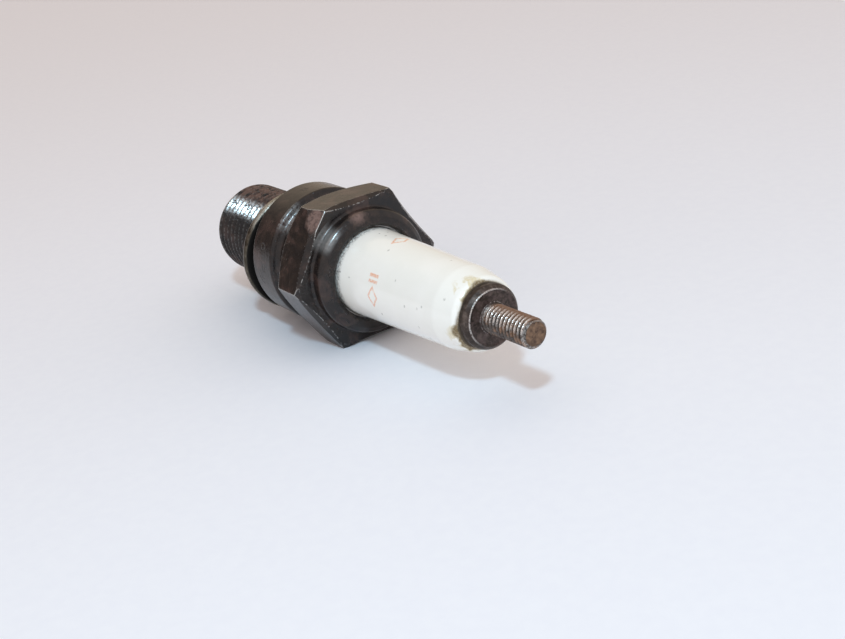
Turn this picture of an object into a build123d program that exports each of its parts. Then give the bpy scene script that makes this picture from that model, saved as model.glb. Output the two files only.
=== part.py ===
from build123d import *
import math
import os

# Spark plug with a 14 mm thread, lying on its side on one flat of its hexagon. Millimetres.
# +X runs along the plug's axis from the firing end to the terminal end, +Z is up, and the
# origin is the centre of the gasket seat, where the thread meets the flange.

# ---------------------------------------------------------------- driving dimensions
# Firing-end thread, M14 x 1.25
THREAD_RADIUS = 6.95
THREAD_PITCH = 1.25
REACH = 19.0
RELIEF_LENGTH = 1.7
RELIEF_RADIUS = 6.1
THREAD_CHAMFER = 0.8
CREST_MARGIN = 0.02

# Shell, measured from the seat
FLANGE_RADIUS = 10.15
FLANGE_LENGTH = 5.6
NECK_RADIUS = 8.95
HEX_START = 9.2
HEX_END = 16.0
HEX_ACROSS_FLATS = 20.8
HEX_OUTSIDE = 12.1
HEX_REAR_FACE_RADIUS = 10.2
HEX_REAR_CHAMFER = 1.9
HEX_FRONT_FACE_RADIUS = 11.25
HEX_FRONT_CHAMFER = 0.5
COLLAR_RADIUS = 9.0
COLLAR_FRONT = 18.4
LIP_RADIUS = 6.62
SHELL_BORE = 7.5
LOWER_BORE = 4.95
FIRING_BORE = 5.0
LEDGE_RADIUS = 4.1
LEDGE_START = -8.6

# Insulator
NOSE_TIP = -19.4
NOSE_RADIUS = 2.35
NOSE_BASE_RADIUS = 3.43
LOWER_BODY_RADIUS = 4.8
BODY_RADIUS = 7.4
BODY_START = 2.2
BODY_END = 9.9
BARREL_EXIT_X = 18.0
BARREL_EXIT_RADIUS = 6.36
BARREL_TAPER = 0.0304
INSULATOR_END = 44.6
SHOULDER_LENGTH = 4.0
SHOULDER_DROP = 0.8
SHOULDER_BLEND = 3.0
SHOULDER_ROUND = 1.1
ELECTRODE_BORE = 1.3
STUD_BORE = 2.0
BORE_STEP = -6.2

# Electrodes
SPARK_GAP = 0.8
CENTRE_RADIUS = 1.25
CENTRE_TIP = -20.9
HEAD_RADIUS = 1.9
HEAD_LENGTH = 1.4
CORE_RADIUS = 0.75
STRAP_THICKNESS = 1.2
STRAP_WIDTH = 2.6
STRAP_ANGLE = 20.0

# Conducting fill of the insulator's bore
LOWER_SEAL_END = 0.8
RESISTOR_END = 10.6
UPPER_SEAL_END = 16.0

# Terminal stud, M4 x 0.7 outside the insulator
STUD_THREAD_RADIUS = 1.97
STUD_PITCH = 0.7
STUD_END = 54.56
SHANK_START = 13.6
SHANK_RADIUS = 1.9
TERMINAL_FLANGE_RADIUS = 4.31
TERMINAL_FACE_RADIUS = 3.76
TERMINAL_FLANGE_LENGTH = 1.5
TERMINAL_SIDE_LENGTH = 0.85

# Gasket: folded sheet steel in three layers, cocked against the seat
SHEET = 0.42
SHEET_GAP = 0.19
GASKET_INNER_RADIUS = 7.75
GASKET_OUTER_RADIUS = 9.8
GASKET_TILT = 9.8
GASKET_TILT_DIRECTION = 222.0
GASKET_SEAT_GAP = 0.04
GASKET_SIDE_SHIFT = 0.33
GASKET_DROP = 0.5

# Talc seal between insulator and shell
LOWER_RING_END = 11.5
UPPER_RING_START = 16.1
RING_CLEARANCE = 0.04

WASHER_THICKNESS = 0.4


# ---------------------------------------------------------------- shared shapes
def turned(*corners):
    """Solid of revolution about X from corners given as (x, radius, corner rounding)."""
    points = [(x, radius) for x, radius, _ in corners]
    rounding = [corner for _, _, corner in corners]
    if any(rounding):
        outline = FilletPolyline(*points, radius=rounding, close=True)
    else:
        outline = Polyline(*points, close=True)
    return revolve(make_face(outline.edges()), Axis.X)


def rod(start, end, radius):
    """Plain cylinder about X."""
    return Location((start, 0, 0), (0, 90, 0)) * Cylinder(
        radius, end - start, align=(Align.CENTER, Align.CENTER, Align.MIN)
    )


def thread_ridge(radius, pitch, start, end, rounded):
    """Right-hand 60 degree thread ridge about X, one pitch longer than asked at both ends."""
    depth = 0.6134 * pitch
    sink = 0.06
    crest = depth + sink
    crest_half = pitch / 16
    root_half = 3 * pitch / 8 + sink * math.tan(math.radians(30))
    root = radius - crest
    base = start - pitch
    helix = Helix(pitch, end - start + 2 * pitch, root, center=(base, 0, 0), direction=(1, 0, 0))
    foot = helix @ 0
    outward = Vector(0, foot.Y, foot.Z).normalized()
    axis = Vector(1, 0, 0)
    section_plane = Plane(origin=foot, x_dir=axis, z_dir=axis.cross(outward))
    if rounded:
        shoulder_half = 3 * crest_half / 2
        shoulder = crest - crest_half * math.cos(math.radians(30))
        top = ThreePointArc((shoulder_half, shoulder), (0, crest), (-shoulder_half, shoulder))
    else:
        shoulder_half = crest_half
        shoulder = crest
        top = Line((shoulder_half, shoulder), (-shoulder_half, shoulder))
    flanks = Polyline(
        (-shoulder_half, shoulder), (-root_half, 0), (root_half, 0), (shoulder_half, shoulder)
    )
    section = section_plane * make_face(flanks.edges() + top.edges())
    return sweep(section, path=helix, is_frenet=True)


def barrel_radius(x):
    """Radius of the insulator's tapered barrel at x."""
    return BARREL_EXIT_RADIUS - BARREL_TAPER * (x - BARREL_EXIT_X)


# ---------------------------------------------------------------- shell
def hexagon():
    """Spanner hexagon with flats at top and bottom, chamfered, with worn front edges."""
    length = HEX_END - HEX_START
    corner_radius = HEX_ACROSS_FLATS / math.sqrt(3)
    outline = Plane((HEX_START, 0, 0), x_dir=(0, 1, 0), z_dir=(1, 0, 0)) * RegularPolygon(
        corner_radius, 6
    )
    prism = extrude(outline, length)
    envelope = turned(
        (HEX_START, 0, 0),
        (HEX_START, HEX_REAR_FACE_RADIUS, 0),
        (HEX_START + HEX_REAR_CHAMFER, HEX_OUTSIDE, 0),
        (HEX_END - HEX_FRONT_CHAMFER, HEX_OUTSIDE, 0),
        (HEX_END, HEX_FRONT_FACE_RADIUS, 0),
        (HEX_END, 0, 0),
    )
    prism = prism & envelope
    for index in range(6):
        prism -= edge_relief(60 * index)
    prism -= struck_corner()
    return prism


def edge_relief(angle):
    """Cutter for the shallow crescent along the front edge of one flat."""
    along_flat = 1.0
    along_face = 0.55
    half_width = 6.0
    slant = math.hypot(along_flat, along_face)
    depth = along_flat * along_face / slant
    cutter_radius = (half_width**2 + depth**2) / (2 * depth)
    run = Vector(along_flat / slant, 0, -along_face / slant)
    outward = Vector(along_face / slant, 0, along_flat / slant)
    edge = Vector(HEX_END, 0, HEX_ACROSS_FLATS / 2)
    centre = edge + outward * (cutter_radius - depth)
    middle = centre - run * (slant / 2)
    disc = Plane(origin=middle, x_dir=(0, 1, 0), z_dir=run) * Cylinder(cutter_radius, 2 * slant)
    return disc.rotate(Axis.X, angle)


def struck_corner():
    """Cutter for the flat that a slipped spanner left on the top front corner."""
    top = HEX_ACROSS_FLATS / 2
    corner = top / math.sqrt(3)
    across, down = 1.7, 1.7 * math.sqrt(3)
    on_ridge = Vector(HEX_END - 3.0, -corner, top)
    on_top = Vector(HEX_END - 0.3, 1.0 - corner, top)
    on_side = Vector(HEX_END - 0.9, -corner - across, top - down)
    normal = (on_top - on_ridge).cross(on_side - on_ridge).normalized()
    if normal.Z < 0:
        normal = normal * -1
    block = Box(12, 12, 6, align=(Align.CENTER, Align.CENTER, Align.MIN))
    return Plane(origin=on_ridge, x_dir=(on_top - on_ridge), z_dir=normal) * block


def shell():
    """Thread, seat flange, shrink neck, hexagon and crimped collar in one forging."""
    root = THREAD_RADIUS - 0.6134 * THREAD_PITCH
    blank = turned(
        (-REACH, 0, 0),
        (-REACH, root - 0.05, 0),
        (-REACH + 0.05, root, 0),
        (-RELIEF_LENGTH - 0.1, root, 0),
        (-RELIEF_LENGTH, RELIEF_RADIUS, 0),
        (0, RELIEF_RADIUS, 0.3),
        (0, FLANGE_RADIUS, 0.3),
        (FLANGE_LENGTH, FLANGE_RADIUS, 0.55),
        (FLANGE_LENGTH + 0.5, NECK_RADIUS, 0.9),
        (HEX_START - 0.7, NECK_RADIUS, 0.6),
        (HEX_START, NECK_RADIUS + 0.6, 0),
        (HEX_END - 0.5, NECK_RADIUS + 0.6, 0),
        (HEX_END, COLLAR_RADIUS + 0.55, 0),
        (HEX_END, COLLAR_RADIUS, 0.4),
        (COLLAR_FRONT - 0.75, COLLAR_RADIUS, 0.75),
        (COLLAR_FRONT - 0.12, COLLAR_RADIUS - 0.95, 0.5),
        (COLLAR_FRONT + 0.05, LIP_RADIUS + 0.45, 0.3),
        (COLLAR_FRONT - 0.3, LIP_RADIUS, 0),
        (COLLAR_FRONT - 0.3, 0, 0),
    )
    ridge = thread_ridge(THREAD_RADIUS, THREAD_PITCH, -REACH, -RELIEF_LENGTH, rounded=True)
    thread_envelope = turned(
        (-REACH, 0, 0),
        (-REACH, THREAD_RADIUS - THREAD_CHAMFER, 0),
        (-REACH + THREAD_CHAMFER, THREAD_RADIUS + CREST_MARGIN, 0),
        (-RELIEF_LENGTH - 0.85, THREAD_RADIUS + CREST_MARGIN, 0),
        (-RELIEF_LENGTH, RELIEF_RADIUS, 0),
        (-RELIEF_LENGTH, 0, 0),
    )
    body = blank + (ridge & thread_envelope) + hexagon()
    return body - shell_bore()


def shell_bore():
    """Stepped bore: firing chamber, inner seat, insulator body and packing space."""
    seat_top = LEDGE_START + LOWER_BORE - LEDGE_RADIUS
    body_step = BODY_START - 0.1
    return turned(
        (-REACH - 1, 0, 0),
        (-REACH - 1, FIRING_BORE + 1.25, 0),
        (-REACH + 0.25, FIRING_BORE, 0),
        (LEDGE_START - 1.8, FIRING_BORE, 0.5),
        (LEDGE_START - 1.0, LEDGE_RADIUS, 0.2),
        (LEDGE_START, LEDGE_RADIUS, 0),
        (seat_top, LOWER_BORE, 0),
        (body_step - (SHELL_BORE - LOWER_BORE), LOWER_BORE, 0),
        (body_step, SHELL_BORE, 0),
        (COLLAR_FRONT - 1.5, SHELL_BORE, 0),
        (COLLAR_FRONT - 0.85, LIP_RADIUS + 0.1, 0.15),
        (COLLAR_FRONT + 1, LIP_RADIUS, 0),
        (COLLAR_FRONT + 1, 0, 0),
    )


# ---------------------------------------------------------------- firing end
def side_electrode():
    """Strap welded on the shell's end face and bent in over the centre electrode."""
    inner = THREAD_RADIUS - THREAD_CHAMFER + 0.05 - STRAP_THICKNESS
    outer = inner + STRAP_THICKNESS
    arm_inside = CENTRE_TIP - SPARK_GAP
    arm_outside = arm_inside - STRAP_THICKNESS
    reach_past_axis = -1.0
    outline = FilletPolyline(
        (-REACH, inner),
        (-REACH, outer),
        (arm_outside, outer),
        (arm_outside, reach_past_axis),
        (arm_inside, reach_past_axis),
        (arm_inside, inner),
        radius=[0, 0, 1.9, 0.15, 0.15, 0.75],
        close=True,
    )
    strap = extrude(make_face(outline.edges()), STRAP_WIDTH / 2, both=True)
    rims = [edge for edge in strap.edges() if abs(abs(edge.center().Z) - STRAP_WIDTH / 2) < 1e-3]
    rims = [edge for edge in rims if edge.center().X < -REACH - 0.01]
    strap = fillet(rims, 0.2)
    return strap.rotate(Axis.X, STRAP_ANGLE)


def electrode_blank():
    """Outside of the centre electrode: pin, rounded tip and head."""
    head_end = BORE_STEP + HEAD_LENGTH
    return turned(
        (CENTRE_TIP, 0, 0),
        (CENTRE_TIP, CENTRE_RADIUS, 0.25),
        (BORE_STEP, CENTRE_RADIUS, 0),
        (BORE_STEP, HEAD_RADIUS, 0.2),
        (head_end, HEAD_RADIUS, 0.3),
        (head_end, 0, 0),
    )


def electrode_copper_core():
    """Copper core, closed in at the firing tip and open at the head."""
    return turned(
        (CENTRE_TIP + 1.7, 0, 0),
        (CENTRE_TIP + 1.9, CORE_RADIUS, 0),
        (BORE_STEP + HEAD_LENGTH, CORE_RADIUS, 0),
        (BORE_STEP + HEAD_LENGTH, 0, 0),
    )


def centre_electrode():
    """Nickel-alloy jacket around the copper core."""
    return electrode_blank() - electrode_copper_core()


# ---------------------------------------------------------------- insulator and its fill
def insulator():
    """One-piece ceramic: firing nose, shoulder, body and tapered barrel, with its bore."""
    shoulder_shift = WASHER_THICKNESS * math.sqrt(2)
    shoulder_offset = LEDGE_RADIUS - LEDGE_START - shoulder_shift
    barrel_start = BODY_END + BODY_RADIUS - barrel_radius(BODY_END + 0.8)
    barrel_end = INSULATOR_END - SHOULDER_LENGTH
    return turned(
        (NOSE_TIP, ELECTRODE_BORE, 0.1),
        (NOSE_TIP, NOSE_RADIUS, 0.45),
        (NOSE_BASE_RADIUS - shoulder_offset, NOSE_BASE_RADIUS, 0.4),
        (LOWER_BODY_RADIUS - shoulder_offset, LOWER_BODY_RADIUS, 0.2),
        (BODY_START - (BODY_RADIUS - LOWER_BODY_RADIUS), LOWER_BODY_RADIUS, 0.4),
        (BODY_START, BODY_RADIUS, 0.4),
        (BODY_END, BODY_RADIUS, 0.4),
        (barrel_start, barrel_radius(barrel_start), 0.6),
        (barrel_end, barrel_radius(barrel_end), SHOULDER_BLEND),
        (INSULATOR_END, barrel_radius(barrel_end) - SHOULDER_DROP, SHOULDER_ROUND),
        (INSULATOR_END, STUD_BORE, 0.1),
        (BORE_STEP, STUD_BORE, 0),
        (BORE_STEP, ELECTRODE_BORE, 0),
    )


def lower_glass_seal():
    """Conductive glass cast around the electrode's head."""
    return rod(BORE_STEP, LOWER_SEAL_END, STUD_BORE) - electrode_blank()


def resistor_element():
    """Carbon and glass suppression resistor."""
    return rod(LOWER_SEAL_END, RESISTOR_END, STUD_BORE)


def upper_glass_seal():
    """Conductive glass cast around the stud's serrated end."""
    return rod(RESISTOR_END, UPPER_SEAL_END, STUD_BORE) - stud_shank()


# ---------------------------------------------------------------- terminal
def stud_shank():
    """Plain shank with serrations where the glass seal grips it."""
    shank = rod(SHANK_START, INSULATOR_END + 0.5, SHANK_RADIUS)
    serration_pitch = 0.8
    for index in range(3):
        middle = SHANK_START + 0.6 + index * serration_pitch
        shank -= turned(
            (middle - 0.25, SHANK_RADIUS + 0.1, 0),
            (middle, SHANK_RADIUS - 0.25, 0),
            (middle + 0.25, SHANK_RADIUS + 0.1, 0),
        )
    return shank


def terminal_stud():
    """Shank, bevelled flange and threaded end in one turned piece."""
    side_end = INSULATOR_END + TERMINAL_SIDE_LENGTH
    face = INSULATOR_END + TERMINAL_FLANGE_LENGTH
    root = STUD_THREAD_RADIUS - 0.6134 * STUD_PITCH
    flange = turned(
        (INSULATOR_END, 0, 0),
        (INSULATOR_END, TERMINAL_FLANGE_RADIUS, 0.1),
        (side_end, TERMINAL_FLANGE_RADIUS, 0.25),
        (face, TERMINAL_FACE_RADIUS, 0.12),
        (face - 0.12, TERMINAL_FACE_RADIUS - 0.35, 0.15),
        (face - 0.12, STUD_THREAD_RADIUS + 0.12, 0),
        (face + 0.12, STUD_THREAD_RADIUS - 0.05, 0),
        (face + 0.45, root, 0),
        (STUD_END - 0.1, root, 0),
        (STUD_END, root - 0.1, 0),
        (STUD_END, 0, 0),
    )
    ridge = thread_ridge(STUD_THREAD_RADIUS, STUD_PITCH, face, STUD_END, rounded=False)
    envelope = turned(
        (face, 0, 0),
        (face, STUD_THREAD_RADIUS + CREST_MARGIN, 0),
        (STUD_END - 0.45, STUD_THREAD_RADIUS + CREST_MARGIN, 0),
        (STUD_END, root - 0.05, 0),
        (STUD_END, 0, 0),
    )
    return stud_shank() + flange + (ridge & envelope)


# ---------------------------------------------------------------- seals
def gasket():
    """Ring of sheet steel, folded with one edge tucked inside, hanging cocked on the thread."""
    layer = SHEET + SHEET_GAP
    half = SHEET / 2
    inner = GASKET_INNER_RADIUS + half
    outer = GASKET_OUTER_RADIUS - half
    tucked_edge = outer - half - 0.55
    inner_fold = layer / 2 - 0.01
    outer_fold = layer - 0.01
    strip = FilletPolyline(
        (-layer, inner),
        (-layer, outer),
        (layer, outer),
        (layer, inner),
        (0, inner),
        (0, tucked_edge),
        radius=[outer_fold, outer_fold, inner_fold, inner_fold],
    )
    section = trace(strip.edges(), line_width=SHEET)
    ring = revolve(section, Axis.X)
    direction = math.radians(GASKET_TILT_DIRECTION)
    leaning = Vector(0, math.cos(direction), math.sin(direction))
    turn_axis = Vector(1, 0, 0).cross(leaning)
    ring = ring.rotate(Axis((0, 0, 0), turn_axis), GASKET_TILT)
    high_point = ring.bounding_box().max.X
    return Location((-GASKET_SEAT_GAP - high_point, -GASKET_SIDE_SHIFT, -GASKET_DROP)) * ring


def inner_seat_washer():
    """Thin washer on the shell's conical ledge, under the insulator's shoulder."""
    across = WASHER_THICKNESS / math.sqrt(2)
    base = LEDGE_START - LEDGE_RADIUS
    low = LEDGE_RADIUS + 0.05
    high = LOWER_BORE - 0.1
    return turned(
        (base + low, low, 0),
        (base + high, high, 0),
        (base + high + across, high - across, 0),
        (base + low + across, low - across, 0),
    )


def lower_packing_ring():
    """Ring wedged between the insulator's rear shoulder and the shell's bore."""
    outer = SHELL_BORE - RING_CLEARANCE
    shoulder = BODY_END + BODY_RADIUS + 0.03
    inner = barrel_radius(BODY_END + 1) + RING_CLEARANCE
    return turned(
        (shoulder - outer, outer, 0),
        (shoulder - inner - 0.12, inner + 0.12, 0),
        (shoulder - inner + 0.2, inner, 0),
        (LOWER_RING_END, inner, 0.1),
        (LOWER_RING_END, outer, 0.1),
    )


def talc_packing():
    """Pressed talc that fills the space between the two rings."""
    return turned(
        (LOWER_RING_END, barrel_radius(LOWER_RING_END), 0),
        (UPPER_RING_START, barrel_radius(UPPER_RING_START), 0),
        (UPPER_RING_START, SHELL_BORE, 0),
        (LOWER_RING_END, SHELL_BORE, 0),
    )


def upper_packing_ring():
    """Ring that the crimped lip presses down on the talc."""
    inner = barrel_radius(UPPER_RING_START) + RING_CLEARANCE
    outer = SHELL_BORE - RING_CLEARANCE
    return turned(
        (UPPER_RING_START, inner, 0.1),
        (UPPER_RING_START, outer, 0.1),
        (COLLAR_FRONT - 1.56, outer, 0),
        (COLLAR_FRONT - 0.98, LIP_RADIUS + 0.18, 0),
        (COLLAR_FRONT - 0.98, inner, 0),
    )


# ---------------------------------------------------------------- write the parts
PARTS = {
    "shell": shell,
    "side_electrode": side_electrode,
    "gasket": gasket,
    "insulator": insulator,
    "centre_electrode": centre_electrode,
    "electrode_copper_core": electrode_copper_core,
    "lower_glass_seal": lower_glass_seal,
    "resistor_element": resistor_element,
    "upper_glass_seal": upper_glass_seal,
    "terminal_stud": terminal_stud,
    "inner_seat_washer": inner_seat_washer,
    "lower_packing_ring": lower_packing_ring,
    "talc_packing": talc_packing,
    "upper_packing_ring": upper_packing_ring,
}

os.makedirs("parts", exist_ok=True)
for name, make in PARTS.items():
    export_step(make(), f"parts/{name}.step")
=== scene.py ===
import math

import bpy
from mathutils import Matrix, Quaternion, Vector


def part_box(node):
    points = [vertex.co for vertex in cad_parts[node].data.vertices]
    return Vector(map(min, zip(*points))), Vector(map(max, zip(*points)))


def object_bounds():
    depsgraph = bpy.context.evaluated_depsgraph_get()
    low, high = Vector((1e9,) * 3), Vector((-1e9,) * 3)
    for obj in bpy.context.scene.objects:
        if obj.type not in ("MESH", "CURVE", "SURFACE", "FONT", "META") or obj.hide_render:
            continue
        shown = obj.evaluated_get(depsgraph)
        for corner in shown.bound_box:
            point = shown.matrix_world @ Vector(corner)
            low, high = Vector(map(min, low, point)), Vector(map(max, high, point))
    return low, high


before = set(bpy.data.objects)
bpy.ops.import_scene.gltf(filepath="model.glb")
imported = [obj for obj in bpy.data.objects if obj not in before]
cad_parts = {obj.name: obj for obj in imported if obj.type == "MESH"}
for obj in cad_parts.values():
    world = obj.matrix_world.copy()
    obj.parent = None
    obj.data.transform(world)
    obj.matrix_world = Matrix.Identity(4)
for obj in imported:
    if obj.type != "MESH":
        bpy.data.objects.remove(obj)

# Metres. +X runs along the plug towards its terminal, +Z is up, and the origin is the centre of
# the gasket seat. The plug lies on one flat of its hexagon. Inside the materials all lengths are
# millimetres, because their detail is that small.

CAD_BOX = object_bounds()
MM = 1000.0


def lowest(node, axis):
    """Lowest coordinate of a CAD node along one axis, in millimetres."""
    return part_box(node)[0][axis] * MM


def highest(node, axis):
    """Highest coordinate of a CAD node along one axis, in millimetres."""
    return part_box(node)[1][axis] * MM


# ---------------------------------------------------------------- places on the plug, in mm
# Along the axis. The thread, the sooty bore and the unglazed nose lie below FIRED_END.
SHELL_TIP = lowest("shell", 0)
SHELL_MOUTH = highest("shell", 0)
INSULATOR_END = highest("insulator", 0)
INSULATOR_TIP = lowest("insulator", 0)
STUD_TIP = highest("terminal_stud", 0)
FIRED_END = -1.2
NECK_START = 5.3
NECK_END = 9.0
HEX_FACE = 16.0
TERMINAL_FACE = 46.1
NOSE_BURNT = (-15.5, -9.0)

# Radii.
BORE = 5.9
THREAD_ROOT = 6.25
THREAD_CREST = 6.95
COLLAR_BEND = 8.0
COLLAR_FILLET = (9.0, 9.9)
FLANGE_EDGE = 10.15
HEX_CORNER = 11.25
STUD_ROOT = 1.56
STUD_CREST = 1.97
TERMINAL_RIM = (3.66, 3.82)
TERMINAL_EDGE = 4.31

# Spots with marks of use, as (x, y, z), and the height of the hexagon's top flat.
STRUCK_FACET = (15.1, -6.4, 9.3)
STRUCK_RIM = (15.1, -6.2, 9.6)
COLLAR_BRUISE = (17.9, -1.1, 8.8)
HEX_TOP = 10.4

# Directions around the axis, in degrees from +Y towards +Z. HIGHLIGHT_SIDE lies half way between
# the lamp and the camera, and isn't a feature of the plug: see highlight_strip.
HIGHLIGHT_SIDE = 126.0
THREAD_BROWN_SIDE = 88.0
RIM_HIGHLIGHT_SIDE = 138.0
RESIDUE_BELOW = 205.0
RESIDUE_ABOVE = 108.0
STRAW_BELOW = 208.0
STRAW_ABOVE = 118.0

# Dings on the flange's edge, as (x, direction, size), and printed marks, as (x, direction,
# whether two bars stand beside the lozenge).
DINGS = ((2.9, 158.0, 0.55), (3.4, 176.0, 0.42), (2.5, 187.0, 0.5), (3.1, 96.0, 0.5))
PRINTED_MARKS = ((26.9, 176.0, True), (25.4, 84.0, False))
BAR_MIDDLES = (-2.1, -2.85)

# The gasket leans against its seat, so its layers are counted along its own axis.
GASKET_MIDDLE = MM * (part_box("gasket")[0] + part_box("gasket")[1]) / 2
GASKET_LEAN = math.radians(9.8)
GASKET_LEAN_DIRECTION = math.radians(222.0)
GASKET_AXIS = Vector((
    math.cos(GASKET_LEAN),
    math.sin(GASKET_LEAN) * math.cos(GASKET_LEAN_DIRECTION),
    math.sin(GASKET_LEAN) * math.sin(GASKET_LEAN_DIRECTION),
))

# The main colours, named for what they show.
BARE_STEEL_AND_HIGHLIGHT = (0.58, 0.58, 0.56)
SCORCHED_STEEL = (0.50, 0.46, 0.42)
PLATED_HIGHLIGHT = (0.66, 0.66, 0.58)
BRIGHT_STUD_AND_HIGHLIGHT = (0.80, 0.76, 0.71)
BRIGHT_NICKEL = (0.66, 0.63, 0.59)
TARNISH = (0.120, 0.066, 0.056)
BRUISED_RUST = (0.190, 0.122, 0.102)
THREAD_TOP_BROWN = (0.200, 0.110, 0.080)
STUD_RUST = (0.250, 0.125, 0.062)
SOOT_AND_SHADE = (0.0045, 0.0038, 0.0035)
SEAT_SHADE_BLACK = (0.008, 0.007, 0.006)
GRIME = (0.026, 0.017, 0.012)
STRAW_STAIN = (0.68, 0.57, 0.30)
OLIVE_STAIN = (0.150, 0.094, 0.030)
BLACK_STAIN = (0.046, 0.029, 0.015)
MOUTH_DIRT = (0.130, 0.100, 0.080)
SCUFF = (0.060, 0.052, 0.046)
FRECKLE = (0.300, 0.285, 0.250)
INK = (0.86, 0.36, 0.17)


# ---------------------------------------------------------------- node building
class Graph:
    """Short calls that add nodes to one material's tree and link them."""

    def __init__(self, tree):
        self.tree = tree

    def feed(self, socket, value):
        """Links a socket to another, or sets its own value."""
        if isinstance(value, bpy.types.NodeSocket):
            self.tree.links.new(value, socket)
        elif value is not None:
            socket.default_value = value

    def node(self, kind, settings=None, **inputs):
        """Adds a node, sets its settings and feeds the inputs named with underscores."""
        made = self.tree.nodes.new(kind)
        for name, value in (settings or {}).items():
            setattr(made, name, value)
        for name, value in inputs.items():
            self.feed(made.inputs[name.replace("_", " ")], value)
        return made

    def math(self, operation, a, b=None):
        made = self.node("ShaderNodeMath", {"operation": operation})
        for socket, value in zip(made.inputs, (a, b)):
            self.feed(socket, value)
        return made.outputs[0]

    def add(self, a, b):
        return self.math("ADD", a, b)

    def sub(self, a, b):
        return self.math("SUBTRACT", a, b)

    def mul(self, *values):
        result = values[0]
        for value in values[1:]:
            result = self.math("MULTIPLY", result, value)
        return result

    def most(self, *values):
        result = values[0]
        for value in values[1:]:
            result = self.math("MAXIMUM", result, value)
        return result

    def invert(self, a):
        return self.math("SUBTRACT", 1.0, a)

    def step(self, value, low, high, start=0.0, end=1.0):
        """Smooth step of value from low to high, giving start to end."""
        made = self.node("ShaderNodeMapRange", {"interpolation_type": "SMOOTHSTEP"})
        for socket, item in zip(made.inputs, (value, low, high, start, end)):
            self.feed(socket, item)
        return made.outputs[0]

    def band(self, value, low, high, soft):
        """1 between low and high, falling to 0 over soft outside them."""
        rising = self.step(value, low - soft, low)
        falling = self.step(value, high, high + soft, 1.0, 0.0)
        return self.mul(rising, falling)

    def noise(self, place, scale, detail, roughness, distortion=0.0):
        made = self.node(
            "ShaderNodeTexNoise",
            Vector=place,
            Scale=scale,
            Detail=detail,
            Roughness=roughness,
            Distortion=distortion,
        )
        return made.outputs["Fac"]

    def cells(self, place, scale):
        """Distance to the nearest of many scattered points."""
        return self.node("ShaderNodeTexVoronoi", Vector=place, Scale=scale).outputs["Distance"]

    def vector(self, x, y, z):
        return self.node("ShaderNodeCombineXYZ", X=x, Y=y, Z=z).outputs[0]

    def stretch(self, place, x, y, z):
        made = self.node("ShaderNodeVectorMath", {"operation": "MULTIPLY"})
        self.feed(made.inputs[0], place)
        self.feed(made.inputs[1], (x, y, z))
        return made.outputs[0]

    def ramp(self, fac, *stops):
        """Colour ramp from (position, colour) stops."""
        made = self.node("ShaderNodeValToRGB", Fac=fac)
        elements = made.color_ramp.elements
        while len(elements) < len(stops):
            elements.new(1.0)
        for element, (position, colour) in zip(elements, stops):
            element.position = position
            element.color = (*colour, 1.0)
        return made.outputs["Color"]

    def mix(self, fac, a, b):
        """Colour a where fac is 0 and b where it is 1."""
        made = self.node("ShaderNodeMix", {"data_type": "RGBA", "clamp_factor": True})
        colours = [socket for socket in made.inputs if socket.type == "RGBA"]
        self.feed(made.inputs["Factor"], fac)
        for socket, value in zip(colours, (a, b)):
            self.feed(socket, (*value, 1.0) if isinstance(value, tuple) else value)
        return [socket for socket in made.outputs if socket.type == "RGBA"][0]

    def blend(self, fac, a, b):
        """Number a where fac is 0 and b where it is 1."""
        made = self.node("ShaderNodeMapRange")
        for socket, item in zip(made.inputs, (fac, 0.0, 1.0, a, b)):
            self.feed(socket, item)
        return made.outputs[0]

    def hollow(self, reach):
        """About 1 in corners and grooves."""
        made = self.node("ShaderNodeAmbientOcclusion", {"samples": 12})
        self.feed(made.inputs["Distance"], reach / MM)
        return self.invert(made.outputs["AO"])

    def softened(self, reach):
        """Normal with every edge rounded over, and how far it leans from the true normal."""
        made = self.node("ShaderNodeBevel", {"samples": 8}, Radius=reach / MM)
        normal = made.outputs["Normal"]
        true_normal = self.node("ShaderNodeNewGeometry").outputs["Normal"]
        dot = self.node("ShaderNodeVectorMath", {"operation": "DOT_PRODUCT"})
        self.feed(dot.inputs[0], normal)
        self.feed(dot.inputs[1], true_normal)
        return normal, self.invert(dot.outputs["Value"])

    def bump(self, height, depth, normal):
        """Normal of a surface with that height pattern, depth in millimetres."""
        made = self.node("ShaderNodeBump", Strength=1.0, Distance=depth / MM, Height=height)
        self.feed(made.inputs["Normal"], normal)
        return made.outputs[0]


class Place:
    """Where a surface point is on the plug, in millimetres: along, around and out."""

    def __init__(self, graph):
        spot = graph.node("ShaderNodeTexCoord").outputs["Object"]
        self.mm = graph.stretch(spot, MM, MM, MM)
        axes = graph.node("ShaderNodeSeparateXYZ", Vector=self.mm)
        self.x, self.y, self.z = axes.outputs
        across = graph.add(graph.mul(self.y, self.y), graph.mul(self.z, self.z))
        self.radius = graph.math("SQRT", across)
        self.angle = graph.math("ARCTAN2", self.z, self.y)
        self.lathe = graph.vector(self.x, self.radius, graph.mul(self.angle, 0.35))


def material(name):
    """New node material with a bare Principled shader: (material, graph, shader)."""
    made = bpy.data.materials.new(name)
    made.use_nodes = True
    made.node_tree.nodes.clear()
    graph = Graph(made.node_tree)
    shader = graph.node("ShaderNodeBsdfPrincipled")
    output = graph.node("ShaderNodeOutputMaterial")
    graph.tree.links.new(shader.outputs[0], output.inputs["Surface"])
    return made, graph, shader


def dress(node, made):
    """Gives a CAD node its material."""
    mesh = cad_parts[node].data
    mesh.materials.clear()
    mesh.materials.append(made)


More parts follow.
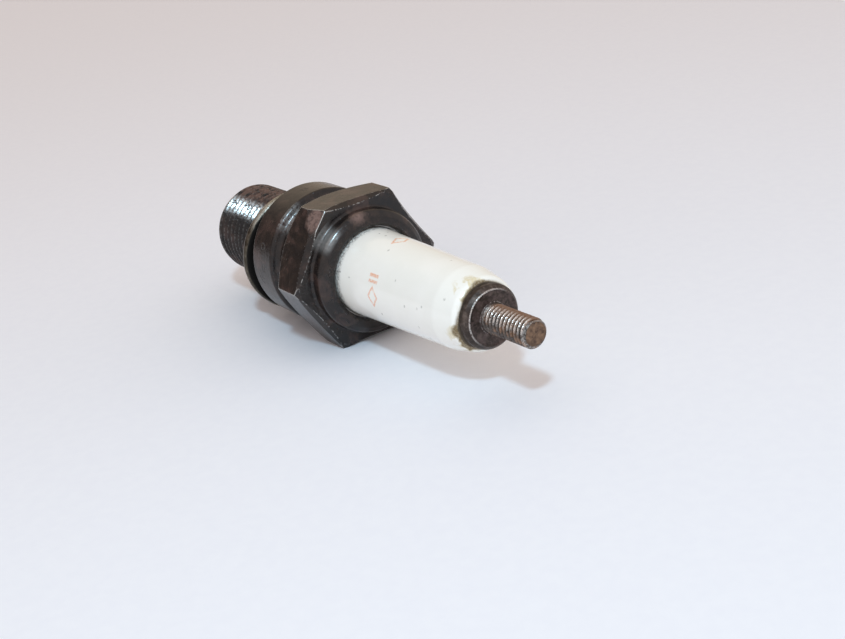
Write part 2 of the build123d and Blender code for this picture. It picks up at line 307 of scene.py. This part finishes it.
# ---------------------------------------------------------------- materials: metals
def shell_steel():
    """Black oxide under a film of oil: glossy, worn bare on its edges, with painted highlight
    strips and painted shade in its corners.
    """
    made, g, shader = material("shell_steel")
    p = Place(g)
    broad = g.noise(p.mm, 0.30, 3.0, 0.5, 0.6)
    patchy = g.noise(p.mm, 0.9, 5.0, 0.6, 0.4)
    fine = g.noise(p.mm, 3.2, 3.0, 0.55)
    turned = g.noise(g.stretch(p.lathe, 9.0, 9.0, 1.2), 1.0, 3.0, 0.6)
    pits = g.step(g.cells(p.mm, 1.7), 0.0, 0.24, 1.0, 0.0)
    pits = g.mul(pits, g.step(patchy, 0.50, 0.62))

    speckle = g.noise(p.mm, 2.6, 3.0, 0.6)
    on_thread = g.step(p.x, FIRED_END, FIRED_END + 0.8, 1.0, 0.0)
    on_neck = g.band(p.x, NECK_START, NECK_END, 0.2)
    root = g.mul(on_thread, g.step(p.radius, THREAD_ROOT, THREAD_ROOT + 0.35, 1.0, 0.0))
    crest = g.mul(on_thread, g.step(p.radius, THREAD_CREST - 0.22, THREAD_CREST - 0.05))
    in_bore = g.step(p.radius, BORE, BORE + 0.4, 1.0, 0.0)
    in_bore = g.mul(in_bore, g.step(p.x, FIRED_END - 0.8, FIRED_END + 0.2, 1.0, 0.0))
    in_bore = g.most(in_bore, g.step(p.x, SHELL_TIP + 0.02, SHELL_TIP + 0.3, 0.8, 0.0))
    corner = g.step(g.hollow(1.2), 0.45, 0.95)
    rounded, lean = g.softened(0.22)
    edge = g.mul(g.step(lean, 0.004, 0.04), g.invert(corner), g.invert(on_thread))
    hex_corner = g.step(p.radius, HEX_CORNER, HEX_CORNER + 0.65)
    struck = struck_facet(g, p)
    rim = g.mul(edge, g.step(near(g, p, STRUCK_RIM), 2.0, 2.9, 1.0, 0.0))
    worn = g.add(fine, g.mul(hex_corner, 0.22))
    rubbed = g.most(g.mul(edge, g.step(worn, 0.50, 0.64), 0.85), g.mul(rim, 0.9))
    scraped = g.mul(crest, g.step(fine, 0.46, 0.60), 0.10)
    # Painted highlights on the thread, the neck, the collar's bend and its fillet.
    on_collar = g.step(p.x, HEX_FACE + 0.1, HEX_FACE + 0.5)
    broad_strip = g.mul(highlight_strip(g, p, 0.955), g.step(speckle, 0.34, 0.58))
    broad_strip = g.mul(broad_strip, g.most(g.mul(on_thread, 0.80), g.mul(on_neck, 0.28)))
    on_bend = g.mul(on_collar, g.step(p.radius, COLLAR_BEND, COLLAR_BEND + 0.7))
    narrow = highlight_strip(g, p, 0.94, shift=6.0)
    narrow = g.mul(narrow, narrow)
    bend_strip = g.mul(narrow, narrow, on_bend, g.blend(speckle, 0.08, 0.60))
    in_fillet = g.band(p.x, HEX_FACE - 0.02, HEX_FACE + 0.4, 0.1)
    in_fillet = g.mul(in_fillet, g.band(p.radius, *COLLAR_FILLET, 0.2))
    fillet_strip = g.mul(narrow, narrow, in_fillet, g.blend(speckle, 0.0, 0.45))
    highlight = g.most(broad_strip, bend_strip, fillet_strip)

    oxide = g.ramp(
        g.add(g.mul(patchy, 0.6), g.mul(broad, 0.4)),
        (0.36, (0.0055, 0.0050, 0.0055)),
        (0.50, (0.0140, 0.0100, 0.0085)),
        (0.64, (0.0330, 0.0210, 0.0160)),
    )
    bruise = g.add(near(g, p, COLLAR_BRUISE), g.mul(speckle, 2.2))
    bruise = g.step(bruise, 1.3, 2.9, 1.0, 0.0)
    mixed = g.blend(g.step(speckle, 0.36, 0.60), 0.50, 1.0)
    rust = g.most(g.mul(struck, mixed), g.mul(on_collar, bruise, mixed))
    tarnish = g.mul(g.step(broad, 0.50, 0.68), 0.25)
    colour = g.mix(tarnish, oxide, TARNISH)
    colour = g.mix(rust, colour, BRUISED_RUST)
    # The thread is browner along its top side.
    browner_on_top = g.mul(on_thread, bearing(g, p, THREAD_BROWN_SIDE, 0.80), g.step(patchy, 0.36, 0.58))
    colour = g.mix(g.mul(browner_on_top, 0.6), colour, THREAD_TOP_BROWN)
    # Bare steel from wear, together with the painted highlight strips.
    metal = g.most(rubbed, scraped, highlight)
    colour = g.mix(metal, colour, BARE_STEEL_AND_HIGHLIGHT)
    # Soot in the thread roots, and painted shade in the corners and grooves.
    soot_and_shade = g.most(g.mul(root, 0.8), g.mul(corner, 0.7))
    colour = g.mix(soot_and_shade, colour, SOOT_AND_SHADE)
    baked = g.ramp(
        g.add(g.mul(speckle, 0.5), g.mul(patchy, 0.5)),
        (0.38, (0.008, 0.007, 0.006)),
        (0.52, (0.030, 0.023, 0.018)),
        (0.64, (0.095, 0.074, 0.056)),
    )
    colour = g.mix(g.mul(in_bore, 0.92), colour, baked)
    at_tip = g.step(p.x, SHELL_TIP + 0.3, SHELL_TIP + 0.8, 1.0, 0.0)
    tip_wear = g.mul(g.step(lean, 0.004, 0.04), at_tip, g.step(fine, 0.42, 0.56), 0.7)
    metal = g.most(metal, tip_wear)
    colour = g.mix(tip_wear, colour, SCORCHED_STEEL)

    rough = g.blend(g.add(g.mul(fine, 0.5), g.mul(patchy, 0.5)), 0.12, 0.34)
    rough = g.blend(g.mul(soot_and_shade, 0.8), rough, 0.5)
    rough = g.blend(in_bore, rough, 0.85)
    g.feed(shader.inputs["Base Color"], colour)
    g.feed(shader.inputs["Roughness"], rough)
    g.feed(shader.inputs["Metallic"], g.mul(metal, g.invert(g.mul(soot_and_shade, 0.7))))
    matte = g.most(soot_and_shade, in_bore, g.mul(on_thread, 0.3))
    g.feed(shader.inputs["Specular IOR Level"], g.blend(matte, 0.44, 0.12))

    relief = g.add(g.mul(fine, 0.22), g.mul(patchy, 0.8))
    relief = g.add(relief, g.mul(turned, 0.08))
    relief = g.sub(relief, g.mul(pits, 0.9))
    relief = g.sub(relief, g.mul(punch_marks(g, p), 1.2))
    film = flattened(g, p, rounded, g.mul(on_thread, 0.30))
    g.feed(shader.inputs["Normal"], g.bump(relief, 0.06, film))
    return made


def bearing(g, p, degrees, low):
    """1 towards one direction around the axis, falling to 0 where the cosine reaches low."""
    y = math.cos(math.radians(degrees))
    z = math.sin(math.radians(degrees))
    towards = g.add(g.mul(p.y, y), g.mul(p.z, z))
    return g.step(g.math("DIVIDE", towards, p.radius), low, 1.0)


def highlight_strip(g, p, low, shift=0.0):
    """Mask of a painted highlight along the side half way between the lamp and the camera.

    It marks neither wear nor shape. Barer metal there strengthens the lamp's own highlight,
    and the strip stays with the plug when it turns. Returning 0.0 takes every strip away.
    """
    return bearing(g, p, HIGHLIGHT_SIDE + shift, low)


def flattened(g, p, normal, amount):
    """Normal of the oil and carbon in the thread, which lies flatter than the steel flanks."""
    outward = g.node("ShaderNodeVectorTransform", {"vector_type": "NORMAL"})
    outward.convert_from = "OBJECT"
    outward.convert_to = "WORLD"
    g.feed(outward.inputs[0], g.vector(0.0, p.y, p.z))
    pull = g.node("ShaderNodeVectorMath", {"operation": "SCALE"})
    g.feed(pull.inputs[0], outward.outputs[0])
    g.feed(pull.inputs["Scale"], amount)
    total = g.node("ShaderNodeVectorMath", {"operation": "ADD"})
    g.feed(total.inputs[0], normal)
    g.feed(total.inputs[1], pull.outputs[0])
    made = g.node("ShaderNodeVectorMath", {"operation": "NORMALIZE"})
    g.feed(made.inputs[0], total.outputs[0])
    return made.outputs[0]


def near(g, p, spot):
    """Distance from one spot on the plug."""
    made = g.node("ShaderNodeVectorMath", {"operation": "DISTANCE"})
    g.feed(made.inputs[0], p.mm)
    g.feed(made.inputs[1], spot)
    return made.outputs["Value"]


def struck_facet(g, p):
    """Bruised steel on the facet that a slipped spanner left, off the flats around it."""
    spot = g.add(near(g, p, STRUCK_FACET), g.noise(p.mm, 1.6, 3.0, 0.5))
    spot = g.step(spot, 1.6, 2.7, 1.0, 0.0)
    below_top = g.step(p.z, HEX_TOP - 0.04, HEX_TOP - 0.01, 1.0, 0.0)
    behind_face = g.step(p.x, HEX_FACE - 0.04, HEX_FACE - 0.02, 1.0, 0.0)
    return g.mul(spot, below_top, behind_face)


def punch_marks(g, p):
    """Shallow ring-shaped dings on the flange's edge."""
    marks = None
    for x, degrees, size in DINGS:
        angle = math.radians(degrees)
        spot = (x, FLANGE_EDGE * math.cos(angle), FLANGE_EDGE * math.sin(angle))
        reach = near(g, p, spot)
        ring = g.band(reach, size * 0.72, size, 0.1)
        marks = ring if marks is None else g.most(marks, ring)
    return marks


def gasket_steel():
    """Plated sheet steel, dulled olive, with a painted highlight strip and painted shade towards
    the seat and in its corners.
    """
    made, g, shader = material("gasket_steel")
    p = Place(g)
    patchy = g.noise(p.mm, 1.1, 5.0, 0.6, 0.5)
    fine = g.noise(p.mm, 7.0, 3.0, 0.6)
    drawn = g.noise(g.stretch(p.lathe, 7.0, 7.0, 1.0), 1.0, 3.0, 0.6)
    corner = g.step(g.hollow(0.8), 0.45, 0.95)
    across = g.node("ShaderNodeVectorMath", {"operation": "DOT_PRODUCT"})
    g.feed(across.inputs[0], p.mm)
    g.feed(across.inputs[1], GASKET_AXIS)
    # Painted shade on the side that faces the seat, and in the corners.
    front = g.add(across.outputs["Value"], g.mul(patchy, 0.25))
    middle = GASKET_MIDDLE.dot(GASKET_AXIS)
    painted_seat_shade = g.most(g.step(front, middle + 0.66, middle + 0.84), g.mul(corner, 0.85))
    colour = g.ramp(
        patchy,
        (0.35, (0.048, 0.041, 0.032)),
        (0.52, (0.095, 0.082, 0.063)),
        (0.70, (0.200, 0.176, 0.140)),
    )
    # Painted highlight along the highlight side, in a plated steel colour.
    highlight = g.mul(highlight_strip(g, p, 0.90), g.step(fine, 0.34, 0.56), 0.75)
    colour = g.mix(highlight, colour, PLATED_HIGHLIGHT)
    colour = g.mix(painted_seat_shade, colour, SEAT_SHADE_BLACK)
    rough = g.blend(painted_seat_shade, g.blend(patchy, 0.24, 0.42), 0.7)
    g.feed(shader.inputs["Base Color"], colour)
    g.feed(shader.inputs["Roughness"], rough)
    g.feed(shader.inputs["Metallic"], g.blend(painted_seat_shade, 0.95, 0.0))
    g.feed(shader.inputs["Specular IOR Level"], g.blend(painted_seat_shade, 0.5, 0.1))
    relief = g.add(g.add(g.mul(patchy, 0.6), g.mul(fine, 0.2)), g.mul(drawn, 0.3))
    g.feed(shader.inputs["Normal"], g.bump(relief, 0.05, g.softened(0.1)[0]))
    return made


def terminal_steel():
    """Browned steel stud: crests worn bare with a painted highlight strip, a painted highlight
    on the rim line, rust above, grime in the roots.
    """
    made, g, shader = material("terminal_steel")
    p = Place(g)
    patchy = g.noise(p.mm, 1.6, 5.0, 0.62, 0.4)
    fine = g.noise(p.mm, 5.0, 2.0, 0.5)
    streaks = g.noise(g.stretch(p.lathe, 1.4, 1.4, 9.0), 1.0, 3.0, 0.6)
    turned = g.noise(g.stretch(p.lathe, 14.0, 14.0, 1.0), 1.0, 2.0, 0.6)
    on_stud = g.step(p.x, TERMINAL_FACE + 0.05, TERMINAL_FACE + 0.4)
    crest = g.mul(on_stud, g.step(p.radius, STUD_CREST - 0.32, STUD_CREST - 0.08))
    root = g.mul(on_stud, g.step(p.radius, STUD_ROOT, STUD_CREST - 0.16, 1.0, 0.0))
    end_face = g.step(p.x, STUD_TIP - 0.08, STUD_TIP - 0.03)
    chamfer = g.band(p.x, STUD_TIP - 0.5, STUD_TIP - 0.1, 0.05)
    rounded, lean = g.softened(0.16)
    edge = g.step(lean, 0.006, 0.06)
    on_face = g.band(p.x, TERMINAL_FACE - 0.16, TERMINAL_FACE + 0.05, 0.02)
    rim = g.band(p.x, TERMINAL_FACE - 0.14, TERMINAL_FACE + 0.02, 0.05)
    rim = g.mul(g.band(p.radius, *TERMINAL_RIM, 0.05), rim)
    upward = g.step(g.add(p.z, g.mul(patchy, 0.8)), 1.5, 2.1)

    colour = g.ramp(
        patchy,
        (0.32, (0.034, 0.024, 0.018)),
        (0.50, (0.085, 0.062, 0.050)),
        (0.68, (0.160, 0.125, 0.105)),
    )
    dusk = g.mul(g.blend(on_stud, 0.75, 0.55), g.step(streaks, 0.36, 0.60))
    colour = g.mix(dusk, colour, (0.030, 0.021, 0.017))
    colour = g.mix(g.mul(on_face, g.step(patchy, 0.4, 0.6), 0.5), colour, (0.120, 0.080, 0.076))
    rusty = g.mul(on_stud, g.most(upward, g.step(g.noise(p.mm, 0.7, 3.0, 0.5), 0.50, 0.62)))
    colour = g.mix(g.mul(rusty, 0.85), colour, STUD_RUST)
    # Crests worn bare a little all round, and a painted highlight along the highlight side.
    highlight = g.blend(highlight_strip(g, p, 0.68, shift=4.0), 0.10, 1.0)
    bare = g.mul(crest, g.step(fine, 0.32, 0.52), highlight)
    bare = g.most(bare, g.mul(chamfer, g.step(fine, 0.30, 0.72), 0.5))
    # Painted highlight: a bright line on the face's rim, on the camera's side.
    rim = g.mul(rim, bearing(g, p, RIM_HIGHLIGHT_SIDE, -0.3), g.step(fine, 0.30, 0.56))
    bare = g.most(bare, g.mul(rim, 0.75))
    bare = g.most(bare, g.mul(edge, g.invert(on_stud), g.step(fine, 0.46, 0.62), 0.6))
    colour = g.mix(g.mul(root, 0.75), colour, GRIME)
    colour = g.mix(bare, colour, BRIGHT_STUD_AND_HIGHLIGHT)
    rust = g.ramp(patchy, (0.35, (0.085, 0.052, 0.038)), (0.65, (0.290, 0.180, 0.112)))
    colour = g.mix(g.mul(end_face, 0.9), colour, rust)
    rough = g.blend(patchy, 0.36, 0.55)
    rough = g.blend(bare, rough, 0.24)
    rough = g.blend(g.most(root, end_face), rough, 0.66)
    g.feed(shader.inputs["Base Color"], colour)
    g.feed(shader.inputs["Roughness"], rough)
    g.feed(shader.inputs["Metallic"], g.blend(bare, 0.55, 1.0))
    relief = g.add(g.add(g.mul(patchy, 0.9), g.mul(fine, 0.7)), g.mul(turned, 0.15))
    g.feed(shader.inputs["Normal"], g.bump(relief, 0.05, rounded))
    return made


def electrode_alloy():
    """Nickel alloy, greyed by heat, with dark deposits near the gap and bright worn edges."""
    made, g, shader = material("electrode_alloy")
    p = Place(g)
    patchy = g.noise(p.mm, 1.1, 3.0, 0.55, 0.3)
    fine = g.noise(p.mm, 6.0, 3.0, 0.6)
    rounded, lean = g.softened(0.12)
    edge = g.step(lean, 0.006, 0.07)
    near_gap = g.band(p.x, lowest("centre_electrode", 0) - 0.9, INSULATOR_TIP, 0.8)
    colour = g.ramp(
        patchy,
        (0.34, (0.120, 0.108, 0.100)),
        (0.52, (0.230, 0.212, 0.196)),
        (0.70, (0.360, 0.335, 0.305)),
    )
    deposit = g.mul(near_gap, g.step(fine, 0.50, 0.66), 0.55)
    colour = g.mix(deposit, colour, (0.110, 0.085, 0.064))
    worn = g.mul(edge, g.step(fine, 0.36, 0.52), 0.85)
    colour = g.mix(worn, colour, BRIGHT_NICKEL)
    g.feed(shader.inputs["Base Color"], colour)
    rough = g.blend(worn, g.blend(patchy, 0.26, 0.44), 0.22)
    g.feed(shader.inputs["Roughness"], g.blend(deposit, rough, 0.85))
    g.feed(shader.inputs["Metallic"], g.blend(deposit, 1.0, 0.1))
    relief = g.add(g.mul(patchy, 0.5), g.mul(fine, 0.30))
    g.feed(shader.inputs["Normal"], g.bump(relief, 0.03, rounded))
    return made


def plain_metal(name, dark, light, grain, rough_low, rough_high):
    """Turned or pressed metal of an inner piece, with lathe lines and tarnish."""
    made, g, shader = material(name)
    p = Place(g)
    patchy = g.noise(p.mm, grain, 4.0, 0.6, 0.3)
    turned = g.noise(g.stretch(p.lathe, 12.0, 12.0, 1.0), 1.0, 3.0, 0.6)
    g.feed(shader.inputs["Base Color"], g.ramp(patchy, (0.35, dark), (0.65, light)))
    g.feed(shader.inputs["Roughness"], g.blend(patchy, rough_low, rough_high))
    shader.inputs["Metallic"].default_value = 1.0
    relief = g.add(g.mul(turned, 0.5), g.mul(patchy, 0.4))
    g.feed(shader.inputs["Normal"], g.bump(relief, 0.03, g.softened(0.08)[0]))
    return made


# ---------------------------------------------------------------- materials: ceramic and fills
def glazed_insulator():
    """White glaze with specks, printed marks, stains at both ends and a sooty bare nose."""
    made, g, shader = material("glazed_insulator")
    p = Place(g)
    broad = g.noise(p.mm, 0.18, 3.0, 0.5, 0.5)
    patchy = g.noise(p.mm, 0.8, 5.0, 0.6, 0.8)
    fine = g.noise(p.mm, 3.6, 5.0, 0.65, 0.3)
    grit = g.noise(p.mm, 8.0, 3.0, 0.6)

    glaze = g.ramp(broad, (0.35, (0.925, 0.920, 0.850)), (0.65, (0.955, 0.948, 0.885)))
    # Dirt rubbed in at the shell's mouth, and short dark scuffs a little above it.
    mouth = g.step(p.x, SHELL_MOUTH - 0.2, SHELL_MOUTH + 4.2, 1.0, 0.0)
    scuffs = g.cells(g.stretch(p.mm, 0.5, 1.15, 1.15), 1.0)
    specks = g.mul(g.step(scuffs, 0.07, 0.15, 1.0, 0.0), g.step(mouth, 0.05, 0.5))
    specks = g.mul(specks, g.step(fine, 0.42, 0.5))
    rim_dirt = g.step(p.x, SHELL_MOUTH - 0.1, SHELL_MOUTH + 0.75, 1.0, 0.0)
    rim_dirt = g.mul(rim_dirt, g.step(fine, 0.44, 0.60))
    freckles = g.mul(g.step(g.cells(p.mm, 0.42), 0.05, 0.11, 1.0, 0.0), g.step(fine, 0.40, 0.52))
    # Residue that crept out from under the terminal flange: black, then olive, then straw.
    # It crept furthest at the lower near side and a little at the top.
    away = g.add(g.sub(INSULATOR_END, p.x), g.sub(p.radius, TERMINAL_EDGE))
    reach = g.add(0.10, bearing(g, p, RESIDUE_BELOW, 0.55))
    reach = g.add(reach, g.mul(bearing(g, p, RESIDUE_ABOVE, 0.70), 0.45))
    soft = g.noise(p.mm, 0.6, 2.0, 0.45, 0.3)
    ragged = g.add(g.mul(soft, 1.9), -0.40)
    black = g.step(g.sub(away, g.mul(reach, ragged, 0.50)), -0.08, 0.16, 1.0, 0.0)
    olive = g.step(g.sub(away, g.mul(reach, ragged, 1.7)), -0.25, 0.42, 1.0, 0.0)
    creep = g.mul(bearing(g, p, STRAW_BELOW, 0.7), 0.9)
    creep = g.mul(g.add(bearing(g, p, STRAW_ABOVE, 0.75), creep), 3.4)
    straw = g.step(g.sub(away, g.mul(creep, g.step(soft, 0.34, 0.62))), -1.3, 0.8, 1.0, 0.0)

    crusty = g.step(fine, 0.34, 0.60)
    colour = g.mix(g.mul(straw, g.blend(crusty, 0.40, 0.75)), glaze, STRAW_STAIN)
    colour = g.mix(g.mul(olive, g.blend(crusty, 0.70, 0.96)), colour, OLIVE_STAIN)
    colour = g.mix(g.mul(black, 0.90), colour, BLACK_STAIN)
    colour = g.mix(g.mul(rim_dirt, 0.7), colour, MOUTH_DIRT)
    colour = g.mix(g.mul(specks, 0.85), colour, SCUFF)
    colour = g.mix(g.mul(freckles, 0.5), colour, FRECKLE)
    colour = g.mix(printed(g, p, fine), colour, INK)

    # The firing nose has no glaze: baked tan, blackened towards its root.
    bare = g.step(p.x, FIRED_END - 0.8, FIRED_END, 1.0, 0.0)
    burnt = g.step(g.add(p.x, g.mul(patchy, 3.0)), *NOSE_BURNT)
    nose = g.ramp(patchy, (0.35, (0.34, 0.24, 0.15)), (0.62, (0.60, 0.49, 0.37)))
    nose = g.mix(g.step(fine, 0.50, 0.64, 0.0, 0.5), nose, (0.160, 0.115, 0.080))
    nose = g.mix(burnt, nose, (0.050, 0.042, 0.036))
    nose = g.mix(g.mul(g.step(grit, 0.56, 0.66), 0.6), nose, (0.075, 0.060, 0.050))
    colour = g.mix(bare, colour, nose)

    dull = g.most(g.mul(straw, 0.4), olive, rim_dirt)
    rough = g.blend(fine, 0.085, 0.15)
    rough = g.blend(dull, rough, 0.55)
    rough = g.blend(bare, rough, 0.82)
    g.feed(shader.inputs["Base Color"], colour)
    g.feed(shader.inputs["Roughness"], rough)
    shader.inputs["Specular IOR Level"].default_value = 0.6
    relief = g.add(g.mul(broad, 0.7), g.mul(patchy, 0.12))
    relief = g.add(relief, g.mul(g.most(olive, rim_dirt), fine))
    relief = g.add(relief, g.mul(bare, grit))
    g.feed(shader.inputs["Normal"], g.bump(relief, 0.05, g.softened(0.1)[0]))
    return made


def printed(g, p, wear):
    """Mask of two worn generic marks: a hollow lozenge beside two bars, and a lozenge alone."""
    ink = None
    for along, degrees, with_bars in PRINTED_MARKS:
        y = math.cos(math.radians(degrees))
        z = math.sin(math.radians(degrees))
        u = g.sub(p.x, along)
        v = g.sub(g.mul(p.z, y), g.mul(p.y, z))
        this_side = g.step(g.add(g.mul(p.y, y), g.mul(p.z, z)), 0.0, 1.0)
        diamond = g.add(g.math("ABSOLUTE", u), g.mul(g.math("ABSOLUTE", v), 0.75))
        mark = g.band(diamond, 0.84, 1.14, 0.1)
        if with_bars:
            for middle in BAR_MIDDLES:
                bar = g.band(v, middle - 0.15, middle + 0.15, 0.1)
                mark = g.most(mark, g.mul(g.band(u, -0.95, 0.95, 0.1), bar))
        mark = g.mul(mark, this_side)
        ink = mark if ink is None else g.most(ink, mark)
    return g.mul(ink, g.step(wear, 0.33, 0.56), 0.75)


def fired_mass(name, dark, light, speck, rough):
    """Glass, resistor mass or talc: a matte cast body with coloured specks."""
    made, g, shader = material(name)
    p = Place(g)
    patchy = g.noise(p.mm, 1.4, 5.0, 0.65)
    grains = g.step(g.cells(p.mm, 3.2), 0.12, 0.26, 1.0, 0.0)
    colour = g.ramp(patchy, (0.35, dark), (0.65, light))
    g.feed(shader.inputs["Base Color"], g.mix(g.mul(grains, 0.7), colour, speck))
    g.feed(shader.inputs["Roughness"], g.blend(patchy, rough - 0.12, rough + 0.05))
    relief = g.add(patchy, g.mul(grains, 0.4))
    g.feed(shader.inputs["Normal"], g.bump(relief, 0.06, g.softened(0.08)[0]))
    return made


MATERIALS = {
    "shell": shell_steel(),
    "gasket": gasket_steel(),
    "terminal_stud": terminal_steel(),
    "insulator": glazed_insulator(),
}
alloy = electrode_alloy()
MATERIALS["side_electrode"] = alloy
MATERIALS["centre_electrode"] = alloy
MATERIALS["electrode_copper_core"] = plain_metal(
    "copper",
    dark=(0.56, 0.24, 0.14),
    light=(0.80, 0.42, 0.27),
    grain=1.5,
    rough_low=0.25,
    rough_high=0.42,
)
packing = plain_metal(
    "packing_steel",
    dark=(0.30, 0.29, 0.28),
    light=(0.52, 0.51, 0.49),
    grain=1.2,
    rough_low=0.3,
    rough_high=0.48,
)
for ring in ("inner_seat_washer", "lower_packing_ring", "upper_packing_ring"):
    MATERIALS[ring] = packing
glass = fired_mass(
    "seal_glass",
    dark=(0.22, 0.11, 0.07),
    light=(0.36, 0.21, 0.14),
    speck=(0.55, 0.28, 0.16),
    rough=0.55,
)
MATERIALS["lower_glass_seal"] = glass
MATERIALS["upper_glass_seal"] = glass
MATERIALS["resistor_element"] = fired_mass(
    "resistor_mass",
    dark=(0.030, 0.030, 0.032),
    light=(0.075, 0.073, 0.070),
    speck=(0.24, 0.23, 0.22),
    rough=0.8,
)
MATERIALS["talc_packing"] = fired_mass(
    "talc",
    dark=(0.66, 0.63, 0.56),
    light=(0.82, 0.79, 0.72),
    speck=(0.58, 0.55, 0.50),
    rough=0.9,
)
for name, made in MATERIALS.items():
    dress(name, made)


# ---------------------------------------------------------------- floor, light and camera
def floor():
    """Plain pale paper under the plug."""
    half = 3.0
    level = CAD_BOX[0].z
    mesh = bpy.data.meshes.new("floor")
    around = ((-half, -half), (half, -half), (half, half), (-half, half))
    mesh.from_pydata([(x, y, level) for x, y in around], [], [(0, 1, 2, 3)])
    piece = bpy.data.objects.new("floor", mesh)
    bpy.context.scene.collection.objects.link(piece)
    made, g, shader = material("floor_paper")
    p = Place(g)
    grain = g.noise(p.mm, 0.6, 4.0, 0.6)
    paper = g.ramp(grain, (0.35, (0.870, 0.885, 0.930)), (0.65, (0.885, 0.900, 0.940)))
    g.feed(shader.inputs["Base Color"], paper)
    shader.inputs["Roughness"].default_value = 0.75
    mesh.materials.append(made)


def lamp(name, towards, distance, size, watts, colour):
    """Round soft lamp that looks at the plug's middle from a direction."""
    middle = (CAD_BOX[0] + CAD_BOX[1]) / 2
    data = bpy.data.lights.new(name, "AREA")
    data.shape = "DISK"
    data.size = size
    data.energy = watts
    data.color = colour
    piece = bpy.data.objects.new(name, data)
    direction = Vector(towards).normalized()
    piece.location = middle + direction * distance
    piece.rotation_euler = (-direction).to_track_quat("-Z", "Y").to_euler()
    bpy.context.scene.collection.objects.link(piece)


def surroundings():
    """Graded room light: pale and warm, deeper at the far left and dark at the near left."""
    world = bpy.data.worlds.new("room")
    world.use_nodes = True
    world.node_tree.nodes.clear()
    bpy.context.scene.world = world
    g = Graph(world.node_tree)
    look = g.node("ShaderNodeTexCoord").outputs["Generated"]

    def facing(direction, narrow, wide):
        dot = g.node("ShaderNodeVectorMath", {"operation": "DOT_PRODUCT"})
        g.feed(dot.inputs[0], look)
        g.feed(dot.inputs[1], Vector(direction).normalized())
        return g.step(dot.outputs["Value"], wide, narrow)

    room = (0.825, 0.750, 0.740)
    far_left = (0.66, 0.54, 0.42)
    near_left = (0.20, 0.15, 0.13)
    colour = g.mix(facing((-0.8, 0.5, 0.35), 0.95, 0.2), room, far_left)
    colour = g.mix(facing((-0.8, -0.57, 0.2), 0.97, 0.72), colour, near_left)
    back = g.node("ShaderNodeBackground", Color=colour)
    output = g.node("ShaderNodeOutputWorld")
    g.tree.links.new(back.outputs[0], output.inputs["Surface"])


def camera():
    """Low three-quarter view from the terminal's side, with the picture rolled a little."""
    place = Vector((0.1773, -0.0884, 0.0656))
    aim = Vector((0.02874, 0.0, -0.00464))
    roll = math.radians(-9.635)
    data = bpy.data.cameras.new("camera")
    data.sensor_width = 36.0
    data.lens = 58.13
    data.clip_start = 0.005
    data.clip_end = 20.0
    piece = bpy.data.objects.new("camera", data)
    piece.location = place
    turn = (aim - place).to_track_quat("-Z", "Y") @ Quaternion((0, 0, 1), roll)
    piece.rotation_euler = turn.to_euler()
    bpy.context.scene.collection.objects.link(piece)
    bpy.context.scene.camera = piece


floor()
lamp(
    "key_lamp",
    towards=(0.58, -0.34, 0.74),
    distance=0.38,
    size=0.038,
    watts=0.60,
    colour=(0.54, 0.81, 1.0),
)
surroundings()
camera()
bpy.context.scene.view_settings.view_transform = "Standard"
